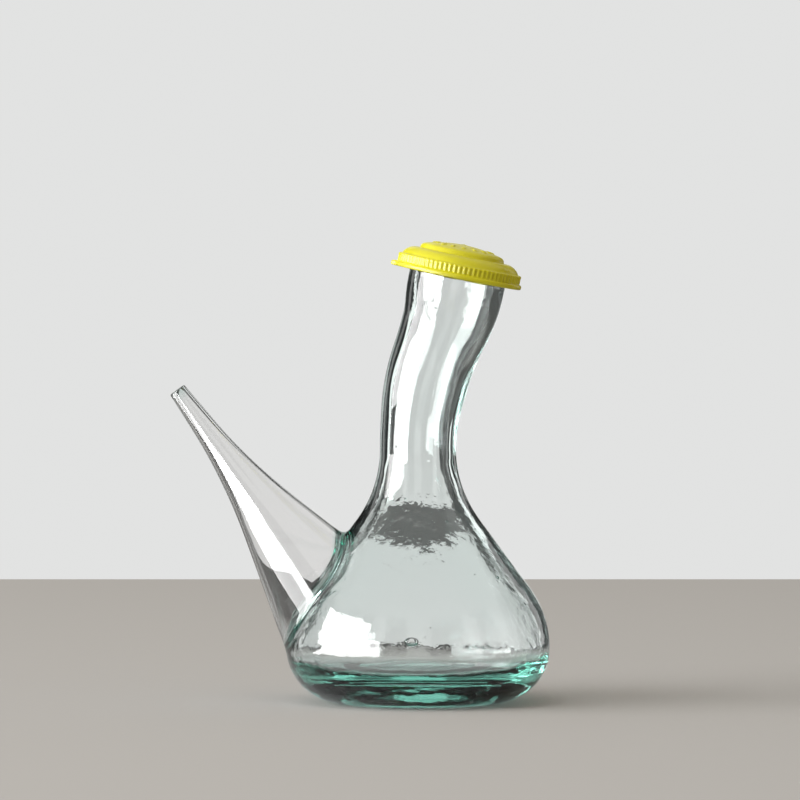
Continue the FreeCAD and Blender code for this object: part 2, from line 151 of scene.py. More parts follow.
def vessel_profile(grow, floor, crown, flat_radius, heel):
    """Half profile from the axis at the bottom to the throat: dense (radius, height) points."""
    belly = BELLY_CURVE + grow
    widest = BODY_RADIUS + grow
    level = floor + heel
    foot = widest - heel
    turn = math.degrees(FLANK_ANGLE)
    belly_points = arc((widest - belly, level), belly, 0, turn, 60)
    throat_radius = THROAT_RADIUS + grow
    # the flank's line, and the curve that turns it up into the throat
    start = belly_points[-1]
    up_flank = np.array([-math.sin(FLANK_ANGLE), math.cos(FLANK_ANGLE)])
    corner = start + up_flank * (start[0] - throat_radius) / math.sin(FLANK_ANGLE)
    tangent = THROAT_HEIGHT - corner[1]
    curve = tangent / math.tan(FLANK_ANGLE / 2)
    throat_centre = (throat_radius + curve, THROAT_HEIGHT)
    crown_curve = (flat_radius**2 + crown**2) / (2 * crown)
    crown_turn = math.degrees(math.asin(flat_radius / crown_curve))
    return joined(
        arc((0, floor + crown - crown_curve), crown_curve, 90, 90 - crown_turn, 30),
        np.linspace((flat_radius, floor), (foot, floor), 12),
        arc((foot, level), heel, -90, 0, 40),
        belly_points,
        np.linspace(start, corner - up_flank * tangent, 60),
        arc(throat_centre, curve, 180 + turn, 180, 60),
    )


# how much thicker than WALL the blown glass is at each height: thin in the belly, thick above it
extra_wall = smooth_table(
    [12, 18, 24, 32, 42, 50, 57, 62, 68, 74, 82, 92, 105, 125, 140, 149],
    [0, 0, 0.25, 0.7, 1.1, 1.3, 1.32, 1.06, 0.62, 0.45, 0.5, 0.7, 0.9, 0.8, 0.5, 0.1],
)


def thickened(profile):
    """The inside's profile, moved in by the extra thickness of the wall at each height."""
    along = np.gradient(profile, axis=0)
    along /= np.linalg.norm(along, axis=1)[:, None]
    outward = np.c_[along[:, 1], -along[:, 0]]
    return profile - outward * (extra_wall(profile[:, 1]) * (profile[:, 0] > FLOOR_FLAT / 3))[:, None]


OUTSIDE = vessel_profile(0.0, 0.0, PUNT_RISE, FOOT_INNER, BODY_RADIUS - FOOT_OUTER)
INSIDE = thickened(vessel_profile(-WALL, FLOOR, FLOOR_CROWN, FLOOR_FLAT, BODY_RADIUS - FOOT_OUTER - FLOOR))


def radius_at(profile, height):
    """The vessel's radius at a height above its widest floor ring."""
    ring = np.argmin(profile[:, 1] - profile[:, 0] * 1e-6)
    return np.interp(height, profile[ring:, 1], profile[ring:, 0])


def length_at(profile, height):
    """How far along the profile a height is reached, above the floor ring."""
    ring = np.argmin(profile[:, 1] - profile[:, 0] * 1e-6)
    return np.interp(height, profile[ring:, 1], lengths(profile)[ring:])


# lengths of the neck's stretches along its centre line
BEND_LENGTH = LOWER_BEND * LEAN
BACK_LENGTH = UPPER_BEND * (LEAN - MOUTH_TILT)
NECK_LENGTH = BEND_LENGTH + LEANING_RUN + BACK_LENGTH + MOUTH_RUN
QUARTER = BEND_LENGTH / 4
neck_radius = smooth_table(
    [-QUARTER, 0, QUARTER, 2 * QUARTER, 3 * QUARTER, BEND_LENGTH, BEND_LENGTH + LEANING_RUN,
     NECK_LENGTH - MOUTH_RUN, NECK_LENGTH - MOUTH_RUN / 2, NECK_LENGTH],
    [13.9, 13.7, 13.9, 14.6, 15.0, 15.2, 15.9, 17.3, 17.5, 17.5],
)


def neck_axis(along):
    """Centre (x, z) and lean of the neck at a distance along its centre line."""
    bend = min(along, BEND_LENGTH)
    lean = bend / LOWER_BEND
    x = LOWER_BEND * (1 - math.cos(lean))
    z = THROAT_HEIGHT + LOWER_BEND * math.sin(lean)
    along -= bend
    run = min(along, LEANING_RUN)
    x += run * math.sin(lean)
    z += run * math.cos(lean)
    along -= run
    back = min(along, BACK_LENGTH)
    turned = lean - back / UPPER_BEND
    x += UPPER_BEND * (math.cos(turned) - math.cos(lean))
    z += UPPER_BEND * (math.sin(lean) - math.sin(turned))
    along -= back
    x += along * math.sin(turned)
    z += along * math.cos(turned)
    return x, z, turned


def ring_points(centre_x, centre_z, lean, radius, angles):
    """A round section of the vessel, tilted towards +X by lean."""
    across = radius * np.cos(angles)
    return np.c_[centre_x + across * math.cos(lean), radius * np.sin(angles),
                 centre_z - across * math.sin(lean)]


# ---------------------------------------------------------------- the spout's form

SPOUT_AXIS = np.array([math.cos(SPOUT_DIP), 0.0, -math.sin(SPOUT_DIP)])
SPOUT_UP = np.array([math.sin(SPOUT_DIP), 0.0, math.cos(SPOUT_DIP)])
SPOUT_SIDE = np.array([0.0, 1.0, 0.0])
TURNS = np.arange(ROUND) * TAU / ROUND
AROUND = np.outer(np.cos(TURNS), SPOUT_UP) + np.outer(np.sin(TURNS), SPOUT_SIDE)
# how far each line of the spout belongs to its upper and to its lower side, from 0 to 1
ON_TOP, BELOW = ease(np.cos(TURNS)) ** 2, ease(-np.cos(TURNS))
# the stretch of the spout's axis in which its lines meet the vessel
SEEK_FROM, SEEK_TO = 60, 101
# where the spout's outside ends and its rounded tip begins
TIP_EDGE = 0.5

stem_slope = (STEM_RADIUS - TIP_RADIUS) / STEM_LENGTH
flare_slope = (ROOT_RADIUS - FLARE_RADIUS) / (SPOUT_LENGTH - FLARE_START)


def horn_radius(down):
    """The spout's outside radius at a distance down its axis from the tip."""
    down = np.asarray(down, float)
    stem = TIP_RADIUS + stem_slope * down
    flare = FLARE_RADIUS + flare_slope * (down - FLARE_START)
    width = FLARE_START - STEM_LENGTH
    t = np.clip((down - STEM_LENGTH) / width, 0, 1)
    curve = ((2 * t**3 - 3 * t**2 + 1) * STEM_RADIUS + (t**3 - 2 * t**2 + t) * width * stem_slope
             + (3 * t**2 - 2 * t**3) * FLARE_RADIUS + (t**3 - t**2) * width * flare_slope)
    return np.where(down < STEM_LENGTH, stem, np.where(down > FLARE_START, flare, curve))


def bore_radius(down):
    """The spout's inside radius at a distance down its axis from the tip."""
    down = np.asarray(down, float)
    wall = TIP_WALL + (ROOT_WALL - TIP_WALL) * ease(down / SPOUT_LENGTH)
    return horn_radius(down) - wall


def in_horn(radius, down):
    """Points round the spout's axis, one for each turn, at that radius and distance down."""
    return SPOUT_TIP + np.outer(np.broadcast_to(down, ROUND), SPOUT_AXIS) \
        + AROUND * np.broadcast_to(radius, ROUND)[:, None]


def outside_by(profile, points):
    """How far points are outside the vessel's profile, along the radius."""
    return np.hypot(points[:, 0], points[:, 1]) - radius_at(profile, points[:, 2])


def crossing(test, low, high, rounds=50):
    """Where test turns from positive to negative between low and high, for each turn."""
    low = np.full(ROUND, float(low))
    high = np.full(ROUND, float(high))
    for _ in range(rounds):
        middle = (low + high) / 2
        out = test(middle) > 0
        low, high = np.where(out, middle, low), np.where(out, high, middle)
    return (low + high) / 2


def depth_on(profile, radius):
    """How far down the spout's axis its lines at that radius meet the vessel's profile."""
    return crossing(lambda down: outside_by(profile, in_horn(radius, down)), SEEK_FROM, SEEK_TO)


# ---------------------------------------------------------------- the glass mesh

OUTER, RIM, INNER, SPOUT = range(4)


class Shell:
    """Vertices in millimetres and faces, gathered ring by ring."""

    def __init__(self):
        self.parts = []
        self.skins = []
        self.count = 0
        self.faces = []
        self.skin = OUTER

    def add(self, points):
        """Adds points, on the skin that is being built, and gives their numbers."""
        points = np.atleast_2d(points)
        self.parts.append(points)
        self.skins += [self.skin] * len(points)
        numbers = np.arange(self.count, self.count + len(points))
        self.count += len(points)
        return numbers

    def bridge(self, first, second):
        """Quads between two rings of as many vertices."""
        for i in range(len(first)):
            j = (i + 1) % len(first)
            self.faces.append((first[i], first[j], second[j], second[i]))

    def fan(self, centre, ring):
        """Triangles from one vertex to a ring."""
        for i in range(len(ring)):
            self.faces.append((centre, ring[i], ring[(i + 1) % len(ring)]))

    def extend(self, ring, rings):
        """Adds rings of points one after another, each bridged to the last, and gives the last."""
        for points in rings:
            added = self.add(points)
            self.bridge(ring, added)
            ring = added
        return ring

    @property
    def points(self):
        """All the vertices so far, in one array."""
        return np.vstack(self.parts)


def vessel_rows(profile, low_height, high_height, below, above):
    """Distances along a profile: HOLE_CELLS steps between two heights, fewer elsewhere."""
    low, high = length_at(profile, low_height), length_at(profile, high_height)
    top = lengths(profile)[-1]
    return np.concatenate([
        np.linspace(0, low, below + 1)[1:-1],
        np.linspace(low, high, HOLE_CELLS + 1),
        np.linspace(high, top, above + 1)[1:],
    ]), below - 1


LIP_STEPS = 30


def lip_section():
    """The lip from the outside of the neck over the top into its bore: (radius, height) pairs."""
    corners = np.array([
        (17.5, -LIP_HEIGHT - 2.0), (17.5, -LIP_HEIGHT), (18.4, -LIP_HEIGHT + 0.8),
        (LIP_RADIUS, -3.0), (LIP_RADIUS, -1.5), (18.3, -0.35), (17.0, 0.0), (15.9, -0.3),
        (15.1, -1.3), (14.9, -3.0), (14.9, -5.0),
    ])
    at = lengths(corners)
    radius, height = smooth_table(at, corners[:, 0]), smooth_table(at, corners[:, 1])
    along = np.linspace(at[1], at[-1], LIP_STEPS)
    return np.c_[radius(along), height(along)]


COLUMN_ANGLES = math.pi + (np.arange(COLUMNS) - HOLE_CELLS // 2) * TAU / COLUMNS


def add_vessel_rows(shell, profile, rows):
    """Rings of the round vessel at distances along a profile."""
    found = at_length(profile, rows)
    return [shell.add(ring_points(0, height, 0, radius, COLUMN_ANGLES)) for radius, height in found]


def add_neck(shell, start, end, inside):
    """Rings of the neck between two distances along its centre line."""
    rings = []
    for along in np.linspace(start, end, NECK_RINGS):
        x, z, lean = neck_axis(along)
        radius = neck_radius(along)
        if inside:
            radius -= WALL + extra_wall(z)
        rings.append(shell.add(ring_points(x, z, lean, radius, COLUMN_ANGLES)))
    return rings


def add_lip(shell):
    """Rings over the lip, from the outside of the neck into its bore."""
    mouth_x, mouth_z, tilt = neck_axis(NECK_LENGTH)
    rings = []
    for radius, height in lip_section():
        x = mouth_x + height * math.sin(tilt)
        z = mouth_z + height * math.cos(tilt)
        rings.append(shell.add(ring_points(x, z, tilt, radius, COLUMN_ANGLES)))
    return rings


def hole_border(first_row):
    """Rows and columns round the square hole, from the middle of its top, first towards +Y."""
    half = HOLE_CELLS // 2
    top, bottom = first_row + HOLE_CELLS, first_row
    # columns start at the hole's +Y edge, where the angle is least
    cells = [(top, half - k) for k in range(half)]
    cells += [(top - k, 0) for k in range(HOLE_CELLS)]
    cells += [(bottom, k) for k in range(HOLE_CELLS)]
    cells += [(bottom + k, HOLE_CELLS) for k in range(HOLE_CELLS)]
    cells += [(top, HOLE_CELLS - k) for k in range(half)]
    return cells


def add_patch(shell, profile, skin_rings, rows, first_row, ring, places):
    """Rings on a skin of the vessel from the spout's round root, at places, to the square hole."""
    cells = hole_border(first_row)
    border = np.array([skin_rings[row][column] for row, column in cells])
    edge_angle = COLUMN_ANGLES[[column for _, column in cells]]
    edge_along = rows[[row for row, _ in cells]]
    angle = np.arctan2(places[:, 1], places[:, 0]) % TAU
    along = length_at(profile, places[:, 2])
    patch = []
    for k in range(1, PATCH_RINGS):
        t = (k / PATCH_RINGS) ** PATCH_SPREAD
        mixed = at_length(profile, along + (edge_along - along) * t)
        turn = angle + (edge_angle - angle) * t
        patch.append(np.c_[mixed[:, 0] * np.cos(turn), mixed[:, 0] * np.sin(turn), mixed[:, 1]])
    shell.bridge(shell.extend(ring, patch), border)


def grid_faces(shell, rings, hole_rows):
    """Quads between rings, except in the two square holes that start at the given rows."""
    for j in range(len(rings) - 1):
        in_hole = any(first <= j < first + HOLE_CELLS for first in hole_rows)
        for i in range(COLUMNS):
            if in_hole and i < HOLE_CELLS:
                continue
            k = (i + 1) % COLUMNS
            shell.faces.append((rings[j][i], rings[j][k], rings[j + 1][k], rings[j + 1][i]))


def away_from_spout(places):
    """At places on the vessel's outside, the way along its skin that leads off from the spout."""
    along = lengths(OUTSIDE)
    at_places = length_at(OUTSIDE, places[:, 2])
    lean_in = np.interp(at_places, along, np.gradient(OUTSIDE[:, 0], along))
    lean_up = np.interp(at_places, along, np.gradient(OUTSIDE[:, 1], along))
    turn = np.arctan2(places[:, 1], places[:, 0])
    normal = np.c_[lean_up * np.cos(turn), lean_up * np.sin(turn), -lean_in]
    away = AROUND - normal * np.sum(AROUND * normal, axis=1)[:, None]
    return away / np.linalg.norm(away, axis=1)[:, None]


def spout_meets_vessel():
    """How far down its axis each line of the spout's outside meets the vessel's, and where."""
    meet = crossing(lambda d: outside_by(OUTSIDE, in_horn(horn_radius(d), d)), SEEK_FROM, SEEK_TO)
    return meet, in_horn(horn_radius(meet), meet)


def add_spout_outside(shell, outer_rings, outer_rows, outer_hole):
    """The spout's outside: from the flank over a rounded bead of glass, and up to the tip."""
    meet, corner = spout_meets_vessel()
    # the bead reaches furthest where the spout's top and its underside meet the flank
    top_of_bead = meet - (1.0 + 2.4 * ON_TOP + 2.8 * BELOW)
    on_spout = in_horn(horn_radius(top_of_bead), top_of_bead)
    on_flank = corner + away_from_spout(corner) * (1.0 + 1.8 * ON_TOP + 1.8 * BELOW)[:, None]
    turn = np.arctan2(on_flank[:, 1], on_flank[:, 0])
    reach = radius_at(OUTSIDE, on_flank[:, 2])
    on_flank = np.c_[reach * np.cos(turn), reach * np.sin(turn), on_flank[:, 2]]

    first_ring = shell.add(on_flank)
    add_patch(shell, OUTSIDE, outer_rings, outer_rows, outer_hole, first_ring, on_flank)
    shell.skin = SPOUT
    bead = [bezier(on_flank, corner, on_spout, t) for t in np.linspace(0, 1, BEAD_RINGS)[1:]]
    last = shell.extend(first_ring, bead)
    depths = [top_of_bead * (1 - t) + TIP_EDGE * t for t in np.linspace(0, 1, HORN_RINGS + 1)[1:]]
    return shell.extend(last, [in_horn(horn_radius(down), down) for down in depths])


def add_spout_inside(shell, last):
    """Round the tip, down the bore, and over a rounded corner onto the vessel's flank."""
    half_wall = TIP_WALL / 2
    bends = np.radians(np.linspace(0, 180, 9)[1:-1])
    last = shell.extend(last, [in_horn(TIP_RADIUS - half_wall + half_wall * math.cos(bend),
                                       half_wall - half_wall * math.sin(bend)) for bend in bends])
    meet = crossing(lambda d: outside_by(OUTSIDE, in_horn(bore_radius(d), d)), SEEK_FROM, SEEK_TO)
    # the corner at the bore's foot is rounded, and most of all on its upper side
    above_root = meet - (1.4 + 2.6 * ON_TOP)
    depths = [half_wall * (1 - t) + above_root * t for t in np.linspace(0, 1, HORN_RINGS)]
    last = shell.extend(last, [in_horn(bore_radius(down), down) for down in depths])

    floor_width = bore_radius(meet) - (OPENING + WALL / 2)
    floor_edge = bore_radius(meet) - np.minimum(2.0, 0.8 * floor_width)
    root_top = in_horn(bore_radius(above_root), above_root)
    root_corner = in_horn(bore_radius(meet), meet)
    root_foot = in_horn(floor_edge, depth_on(OUTSIDE, floor_edge))
    corner = [bezier(root_top, root_corner, root_foot, t) for t in np.linspace(0, 1, 9)[1:]]
    return shell.extend(last, corner), floor_edge


def add_opening(shell, last, floor_edge):
    """The flank's own wall inside the spout, and the rounded rim of the opening through it."""
    nose = WALL / 2
    shell.skin = RIM
    for t in np.linspace(0, 1, 5)[1:]:
        radius = floor_edge + (OPENING + nose - floor_edge) * t
        last = shell.extend(last, [in_horn(radius, depth_on(OUTSIDE, radius))])
    for bend in np.radians(np.linspace(-90, 90, 13)[1:]):
        radius = np.full(ROUND, OPENING + nose * (1 - math.cos(bend)))
        outer, inner = depth_on(OUTSIDE, radius), depth_on(INSIDE, radius)
        points = in_horn(radius, (outer + inner) / 2 + (inner - outer) / 2 * math.sin(bend))
        last = shell.extend(last, [points])
    return last, points


def fused_glass():
    """The whole glass: vessel, neck, lip, and the spout flowing out of the flank."""
    shell = Shell()
    outer_rows, outer_hole = vessel_rows(OUTSIDE, *OUTER_HOLE, *OUTER_ROWS)
    inner_rows, inner_hole = vessel_rows(INSIDE, *INNER_HOLE, *INNER_ROWS)
    outer_rings = add_vessel_rows(shell, OUTSIDE, outer_rows)
    neck_end = NECK_LENGTH - LIP_HEIGHT - NECK_GAP
    rings = outer_rings + add_neck(shell, NECK_GAP, neck_end, False)
    shell.skin = RIM
    rings += add_lip(shell)
    shell.skin = INNER
    rings += add_neck(shell, neck_end, NECK_GAP, True)
    inner_rings = add_vessel_rows(shell, INSIDE, inner_rows)
    # the inside's rings are joined downwards, so the hole's top row comes first
    inner_top = len(rings) + len(inner_rings) - 1 - (inner_hole + HOLE_CELLS)
    rings += inner_rings[::-1]
    grid_faces(shell, rings, (outer_hole, inner_top))
    shell.fan(shell.add((0, 0, FLOOR + FLOOR_CROWN))[0], rings[-1])
    shell.skin = OUTER
    shell.fan(shell.add((0, 0, PUNT_RISE))[0], rings[0])

    last = add_spout_outside(shell, outer_rings, outer_rows, outer_hole)
    last, floor_edge = add_spout_inside(shell, last)
    last, places = add_opening(shell, last, floor_edge)
    shell.skin = INNER
    add_patch(shell, INSIDE, inner_rings, inner_rows, inner_hole, last, places)
    return shell


def mesh_piece(name, points, faces):
    """A smooth shaded closed piece from points in millimetres, with its normals outward."""
    mesh = bpy.data.meshes.new(name)
    mesh.from_pydata((points * METRES).tolist(), [], [tuple(int(i) for i in face) for face in faces])
    work = bmesh.new()
    work.from_mesh(mesh)
    bmesh.ops.recalc_face_normals(work, faces=work.faces)
    work.to_mesh(mesh)
    work.free()
    mesh.shade_smooth()
    piece = bpy.data.objects.new(name, mesh)
    bpy.context.scene.collection.objects.link(piece)
    return piece


def kept_points(points, skins, faces):
    """The shell without the points that no face uses, such as those in the grid's square holes."""
    used = np.zeros(len(points), bool)
    for face in faces:
        used[list(face)] = True
    number = np.cumsum(used) - 1
    return points[used], np.array(skins)[used], [tuple(number[list(face)]) for face in faces]


def waviness(point, skin):
    """How far hand-blown glass stands off its smooth form there, in millimetres."""
    x, y, z = point
    if skin == OUTER:
        slow = noise.noise(Vector((x, y, z * 0.5)) / 20) * 0.12
        quick = noise.noise(Vector((x + 50, y, z * 0.4)) / 7) * 0.025
        heel = noise.noise(Vector((x + 90, y, z)) / 4.5) * 0.07 * float(1 - ease((z - 9) / 8))
        return (slow + quick + heel) * float(ease(z / 6))
    if skin == INNER:
        in_neck = float(ease((z - 72) / 20))
        slow = noise.noise(Vector((x + 200, y, z * (0.7 - 0.4 * in_neck))) / 14)
        quick = noise.noise(Vector((x + 300, y, z * (0.8 - 0.5 * in_neck))) / 5)
        return slow * (0.16 + 0.44 * in_neck) + quick * (0.035 + 0.06 * in_neck)
    if skin == SPOUT:
        return noise.noise(Vector((x, y + 80, z)) / 20) * 0.05
    return noise.noise(Vector((x, y + 120, z)) / 7) * 0.06


def ripple(piece, skins):
    """Moves each vertex along its normal by the glass's waviness."""
    mesh = piece.data
    moved = np.empty(len(mesh.vertices) * 3)
    normals = np.empty(len(mesh.vertices) * 3)
    mesh.vertices.foreach_get("co", moved)
    mesh.vertex_normals.foreach_get("vector", normals)
    points = moved.reshape(-1, 3) / METRES
    shift = np.array([waviness(point, skin) for point, skin in zip(points, skins)])
    points += normals.reshape(-1, 3) * shift[:, None]
    points[:, 2] = np.maximum(points[:, 2], 0.0)
    mesh.vertices.foreach_set("co", (points * METRES).ravel())
    mesh.update()


def bubble(shell, centre, width, height, lean):
    """A closed void in the glass, turned inside out so that its air side faces in."""
    rings, columns = 8, 14
    up = Vector((math.sin(lean), 0, math.cos(lean)))
    outward = Vector((centre[0], centre[1], 0)).normalized()
    across = up.cross(outward)
    poles = []
    loops = []
    for k in range(rings + 1):
        tilt = math.pi * k / rings
        size = math.sin(tilt)
        points = []
        for j in range(columns):
            turn = TAU * j / columns
            place = Vector(centre) + up * math.cos(tilt) * height / 2
            place += across * size * math.cos(turn) * width / 2
            place += outward * size * math.sin(turn) * min(width, 1.4) / 2
            points.append(tuple(place))
        if k in (0, rings):
            poles.append(shell.add(points[:1])[0])
        else:
            loops.append(shell.add(np.array(points)))
    shell.fan(poles[0], loops[0])
    for first, second in zip(loops, loops[1:]):
        shell.bridge(first, second)
    shell.fan(poles[1], loops[-1])


def on_wall(angle, height, depth):
    """A point in the wall of the round vessel, depth of the way through from its outside."""
    radius = radius_at(OUTSIDE, height) - WALL * depth
    return (radius * math.cos(angle), radius * math.sin(angle), height)


def glass_vessel():
    """The fused glass with its waviness and seed bubbles."""
    shell = fused_glass()
    points, skins, faces = kept_points(shell.points, shell.skins, shell.faces)
    piece = mesh_piece("glass_vessel", points, faces)
    ripple(piece, skins)

    seeds = Shell()
    # two bubbles that catch the eye, then small seeds in the wall and in the foot
    bubble(seeds, on_wall(math.radians(-93), 25.0, 0.5), 5.0, 3.1, 0.0)
    bubble(seeds, on_wall(math.radians(-38), 46.0, 0.5), 1.2, 1.6, 0.2)
    chance = random.Random(4)
    for _ in range(16):
        angle = chance.uniform(0, TAU)
        height = chance.uniform(16, 78)
        size = chance.uniform(0.25, 0.7)
        if abs(angle - math.pi) > 0.9:
            bubble(seeds, on_wall(angle, height, 0.5), size, size * chance.uniform(1.0, 2.2), 0.0)
    for _ in range(10):
        angle = chance.uniform(0, TAU)
        radius = chance.uniform(4, 30)
        size = chance.uniform(0.3, 0.8)
        in_foot = (radius * math.cos(angle), radius * math.sin(angle), chance.uniform(5, 9))
        bubble(seeds, in_foot, size, size, 0.0)
    voids = mesh_piece("seed_bubbles", seeds.points, seeds.faces)
    voids.data.flip_normals()
    work = bmesh.new()
    work.from_mesh(piece.data)
    work.from_mesh(voids.data)
    work.to_mesh(piece.data)
    work.free()
    piece.data.shade_smooth()
    bpy.data.objects.remove(voids)
    paint(piece, skins)
    return piece


def paint(piece, skins):
    """Vertex values for the material: orange-peel ripple, and the green of the fused seam."""
    mesh = piece.data
    places = np.empty(len(mesh.vertices) * 3)
    mesh.vertices.foreach_get("co", places)
    places = places.reshape(-1, 3) / METRES
    skin = np.full(len(places), RIM)
    skin[:len(skins)] = skins
    height = places[:, 2]
    # the ripple is faint in the throat and low in the foot, and the drawn spout has none
    peel = 1 - 0.9 * ease((height - 72) / 14) * (1 - ease((height - 136) / 8))
    peel *= 1 - 0.6 * ease((14 - height) / 8)
    peel[skin == SPOUT] = 0.0
    _, joint = spout_meets_vessel()
    near = np.array([np.min(np.sum((joint - place) ** 2, axis=1)) for place in places]) ** 0.5
    # the green is widest and strongest on top of the joint, and faint on the inside
    on_top = ease((height - 52) / 12)
    seam = np.exp(-(near / (1.3 + 1.4 * on_top)) ** 2) * (0.65 + 0.35 * on_top)
    seam[skin == INNER] *= 0.2
    tip = np.linalg.norm(places - SPOUT_TIP, axis=1)
    seam = np.maximum(seam, 0.3 * np.exp(-(tip / 3.0) ** 2))
    for name, values in (("peel", peel), ("seam", seam)):
        layer = mesh.attributes.new(name, "FLOAT", "POINT")
        layer.data.foreach_set("value", values)


# ---------------------------------------------------------------- the cap

CAP_SEGMENTS = 480
RIBS = 80
MARKS, MARK_RADIUS = 16, 10.2


def cap_profile():
    """Half section of the cap from the top's middle round to the underside's: (radius, height)."""
    outside = joined(
        np.array([(0.0, 12.0), (1.5, 11.98)]),
        np.c_[np.linspace(1.5, 13.4, 44), 12.0 - 1.75 * (np.linspace(1.5, 13.4, 44) / 13.4)**2],
        np.array([(13.4, 10.25), (14.2, 10.0), (14.8, 9.6), (15.2, 9.0), (15.35, 8.4), (15.6, 8.15),
                  (16.1, 8.05), (16.9, 8.1), (17.4, 8.05), (18.4, 7.75), (19.5, 7.15), (20.4, 6.4),
                  (20.9, 5.75), (21.15, 5.3), (21.5, 5.05), (22.0, 5.0), (22.3, 4.85), (22.35, 4.5)]),
        np.c_[np.full(7, 22.2), np.linspace(4.2, 2.2, 7)],
        np.array([(22.2, 2.2), (22.3, 1.9), (22.7, 1.7), (23.05, 1.55), (23.2, 1.2), (23.2, 0.5),
                  (23.05, 0.15), (22.7, 0.0), (20.4, 0.0), (19.9, 0.15), (19.65, 0.6), (19.6, 1.4)]),
    )
    inside = np.array([(19.6, 3.5), (19.6, 5.2), (19.2, 5.6), (17.0, 5.65), (15.0, 5.6), (14.6, 5.3),
                       (14.5, 4.6), (14.5, 2.4), (14.35, 1.0), (14.1, 0.5), (13.8, 0.4), (13.45, 0.6),
                       (13.2, 1.1), (13.2, 4.0), (13.2, 7.6), (12.9, 8.4), (12.1, 8.7), (8.0, 8.7),
                       (4.0, 8.7), (0.0, 8.7)])
    return joined(outside, np.vstack([outside[-1:], inside]))


def cap_points(turns):
    """Rings of the cap in its own frame, with ribs, marks, gate and lug."""
    rings = []
    for radius, height in cap_profile():
        outer_band = 2.0 < height < 4.6 and radius > 21.9
        on_brim = height < 1.8 and radius > 22.6
        on_top = height > 9.9
        r = np.full(len(turns), radius)
        h = np.full(len(turns), height)
        if outer_band:
            r += 0.3 * np.clip(0.35 + 1.25 * np.cos(RIBS * turns), 0, 1) - 0.1
        if on_brim:
            off = np.abs(turns - math.pi) * radius
            r += 1.3 * ease((3.4 - off) / 1.0)
        if on_top:
            pitch = TAU / MARKS
            off = ((turns + pitch / 2) % pitch - pitch / 2) * MARK_RADIUS
            long_mark = (np.floor((turns + pitch / 2) / pitch).astype(int) % 3) > 0
            half_length = np.where(long_mark, 1.25, 0.7)
            side = ease((0.75 - np.abs(off)) / 0.4)
            end = ease((half_length - np.abs(radius - MARK_RADIUS)) / 0.4)
            h += 0.32 * side * end
            h += 0.25 * float(ease((1.3 - radius) / 0.5))
        rings.append(np.c_[r * np.cos(turns), r * np.sin(turns), h])
    return rings


def cap_piece():
    """The yellow cap, seated on the lip along the mouth's tilted axis."""
    turns = np.arange(CAP_SEGMENTS) * TAU / CAP_SEGMENTS
    x, z, tilt = neck_axis(NECK_LENGTH - LIP_IN_CAP)
    shell = Shell()
    rings = []
    for points in cap_points(turns):
        across, up = points[:, 0].copy(), points[:, 2].copy()
        points[:, 0] = x + across * math.cos(tilt) + up * math.sin(tilt)
        points[:, 2] = z - across * math.sin(tilt) + up * math.cos(tilt)
        rings.append(points)
    ends = [rings[0].mean(axis=0), rings[-1].mean(axis=0)]
    loops = [shell.add(points) for points in rings[1:-1]]
    for first, second in zip(loops, loops[1:]):
        shell.bridge(first, second)
    shell.fan(shell.add(ends[0])[0], loops[0])
    shell.fan(shell.add(ends[1])[0], loops[-1])
    piece = mesh_piece("press_on_cap", shell.points, shell.faces)
    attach(piece, "cap")
    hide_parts("cap")
    return piece


# ---------------------------------------------------------------- materials


def new_material(name):
    """A material with an empty node tree, and the two calls that add and join its nodes."""
    material = bpy.data.materials.new(name)
    material.use_nodes = True
    tree = material.node_tree
    tree.nodes.clear()
    return material, tree.nodes.new, tree.links.new


def recycled_glass():
    """Hand-blown recycled glass: clear where thin, teal where thick, with orange-peel ripple."""
    material, node, link = new_material("recycled_glass")
    place = node("ShaderNodeTexCoord")
    shader = node("ShaderNodeBsdfPrincipled")
    shader.inputs["Transmission Weight"].default_value = 1.0
    shader.inputs["IOR"].default_value = 1.51
    seam = node("ShaderNodeAttribute")
    seam.attribute_name = "seam"
    colours = node("ShaderNodeMix")
    colours.data_type = "RGBA"
    colours.inputs["A"].default_value = (0.972, 0.962, 0.964, 1)
    colours.inputs["B"].default_value = (0.01, 0.50, 0.38, 1)
    link(seam.outputs["Fac"], colours.inputs["Factor"])
    link(colours.outputs["Result"], shader.inputs["Base Color"])

    peel = node("ShaderNodeTexNoise")
    peel.inputs["Scale"].default_value = 520
    peel.inputs["Detail"].default_value = 2
    swell = node("ShaderNodeTexNoise")
    swell.inputs["Scale"].default_value = 160
    swell.inputs["Detail"].default_value = 1
    link(place.outputs["Object"], peel.inputs["Vector"])
    link(place.outputs["Object"], swell.inputs["Vector"])
    fine = node("ShaderNodeBump")
    peeled = node("ShaderNodeAttribute")
    peeled.attribute_name = "peel"
    link(peeled.outputs["Fac"], fine.inputs["Strength"])
    fine.inputs["Distance"].default_value = 0.00004
    broad = node("ShaderNodeBump")
    link(peeled.outputs["Fac"], broad.inputs["Strength"])
    broad.inputs["Distance"].default_value = 0.00012
    link(swell.outputs["Fac"], broad.inputs["Height"])
    link(peel.outputs["Fac"], fine.inputs["Height"])
    link(broad.outputs["Normal"], fine.inputs["Normal"])
    link(fine.outputs["Normal"], shader.inputs["Normal"])

    haze = node("ShaderNodeMapRange")
    haze.inputs["From Min"].default_value = 0.5
    haze.inputs["From Max"].default_value = 0.8
    haze.inputs["To Min"].default_value = 0.0
    haze.inputs["To Max"].default_value = 0.05
    link(swell.outputs["Fac"], haze.inputs["Value"])
    link(haze.outputs["Result"], shader.inputs["Roughness"])

    tint = node("ShaderNodeVolumeAbsorption")
    tint.inputs["Color"].default_value = (0.45, 0.88, 0.80, 1)
    tint.inputs["Density"].default_value = 29
    output = node("ShaderNodeOutputMaterial")
    link(shader.outputs["BSDF"], output.inputs["Surface"])
    link(tint.outputs["Volume"], output.inputs["Volume"])
    return material


